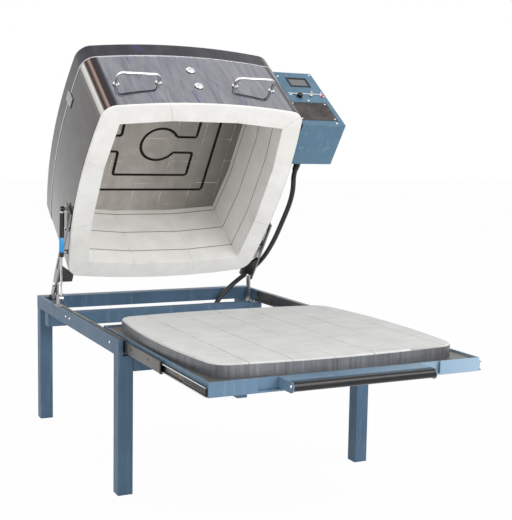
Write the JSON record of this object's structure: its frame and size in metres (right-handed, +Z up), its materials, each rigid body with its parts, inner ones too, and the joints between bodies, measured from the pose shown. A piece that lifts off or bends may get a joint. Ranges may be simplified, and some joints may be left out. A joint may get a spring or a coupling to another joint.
{
  "type": "glass kiln",
  "caption": "Clamshell glass kiln with a tipping brick-lined hood, a hearth on a rolling drawer, a side control box and a steel stand",
  "frame": {"origin": "on the floor, at the middle of the footprint of the open kiln with its drawer pulled out", "axes": "+Z up, +Y to the back, +X to the right as seen from the drawer side"},
  "size_m": [1.0656, 1.9002, 1.4924],
  "materials": {
    "stand_paint": "satin",
    "drawer_paint": "satin",
    "box_paint": "satin",
    "zinc": "satin",
    "stainless": "satin",
    "polished_jacket": "polished",
    "chrome": "polished",
    "wall_brick": "matte",
    "roof_brick": "matte",
    "hearth_brick": "matte",
    "porcelain": "satin",
    "plug": "satin",
    "element": "matte",
    "black_paint": "gloss",
    "rubber": "matte",
    "black_grip": "satin",
    "conduit": "satin",
    "black_plastic": "satin",
    "display": "gloss",
    "cream": "gloss",
    "red": "gloss",
    "board": "satin"
  },
  "bodies": {
    "stand": {"legs": "stand_paint", "side_rails": "stand_paint", "rear_rail": "stand_paint", "front_cross_rail": "stand_paint", "rear_cross_member": "stand_paint", "slide_outer": "zinc", "hinge_posts": "stainless", "pivot_bolts": "chrome", "pivot_spacers": "chrome", "stand_screws": "chrome", "strut_foot_bracket": "stainless", "terminal_box": "stand_paint", "terminal_gland": "black_plastic", "conduit": "conduit"},
    "hood": {"arm_spacers": "stainless", "bow_handles": "chrome", "cap_clip": "stainless", "conduit_gland": "black_plastic", "contactor": "black_plastic", "control_housing": "box_paint", "control_panel": "box_paint", "controller_board": "board", "corner_gussets": "black_paint", "display_bezel": "black_plastic", "display_window": "display", "hinge_arm_left": "stainless", "hinge_arm_right": "stainless", "hood_screws": "chrome", "jacket": "polished_jacket", "lead_bushings": "porcelain", "lower_cover": "stainless", "roof_bricks": "roof_brick", "roof_cap": "polished_jacket", "roof_element": "element", "stop_buffer": "rubber", "strut_top_stud": "stainless", "switch_bushes": "chrome", "thermocouple": "stainless", "wall_course_1": "wall_brick", "wall_course_2": "wall_brick", "wall_course_3": "wall_brick", "wall_course_4": "wall_brick"},
    "drawer": {"drawer_frame": "drawer_paint", "base_sheet": "stainless", "deck_sheet": "stainless", "hearth_bricks": "hearth_brick", "hearth_wrap": "stainless", "handle_bracket": "drawer_paint", "handle_grip": "black_grip", "grip_bolts": "chrome", "slide_inner": "zinc"},
    "slides": {"slide_middle": "zinc"},
    "knob": {"temperature_knob": "black_plastic"},
    "toggle": {"toggle_lever": "cream"},
    "button": {"push_button": "red"},
    "peep_plug_upper": {"plug_upper": "plug"},
    "peep_plug_lower": {"plug_lower": "plug"},
    "strut_rod_body": {"strut_rod": "chrome"},
    "strut_cylinder_body": {"strut_cylinder": "black_paint"}
  },
  "joints": [
    {"name": "hood_hinge", "type": "hinge", "parent": "stand", "child": "hood", "pos_m": [-0.06525, 0.67038, 0.5603], "axis": [1, 0, 0], "range_deg": [0, 53.9], "deforming": ["conduit"]},
    {"name": "drawer_slide", "type": "slide", "parent": "stand", "child": "drawer", "axis": [0, 1, 0], "range_m": [0, 0.628]},
    {"name": "slide_middle_travel", "type": "slide", "parent": "stand", "child": "slides", "axis": [0, 1, 0], "range_m": [0, 0.3145]},
    {"name": "strut_foot_pivot", "type": "hinge", "parent": "stand", "child": "strut_rod_body", "pos_m": [-0.51125, 0.51138, 0.528], "axis": [1, 0, 0], "range_deg": [0, 66.95]},
    {"name": "strut_stroke", "type": "slide", "parent": "strut_rod_body", "child": "strut_cylinder_body", "axis": [0, -0.0544, 0.9985], "range_m": [-0.1342, 0]},
    {"name": "temperature_knob_turn", "type": "hinge", "parent": "hood", "child": "knob", "pos_m": [0.40775, 0.34608, 1.31393], "axis": [0, -0.5892, 0.808], "range_deg": [-150, 150]},
    {"name": "toggle_flip", "type": "hinge", "parent": "hood", "child": "toggle", "pos_m": [0.46275, 0.35018, 1.32187], "axis": [1, 0, 0], "range_deg": [0, 40]},
    {"name": "button_press", "type": "slide", "parent": "hood", "child": "button", "axis": [0, 0.5892, -0.808], "range_m": [0, 0.003], "stiffness_N_per_m": 400},
    {"name": "peep_plug_upper_pull", "type": "slide", "parent": "hood", "child": "peep_plug_upper", "axis": [0, -0.5892, 0.808], "range_m": [0, 0.06]},
    {"name": "peep_plug_lower_pull", "type": "slide", "parent": "hood", "child": "peep_plug_lower", "axis": [0, -0.5892, 0.808], "range_m": [0, 0.06]}
  ],
  "couplings": [
    {"joint": "slide_middle_travel", "follows": "drawer_slide", "ratio": 0.5},
    {"joint": "strut_foot_pivot", "follows": "hood_hinge", "ratio": 1.241},
    {"joint": "strut_stroke", "follows": "hood_hinge", "m_per_rad": -0.1425}
  ]
}
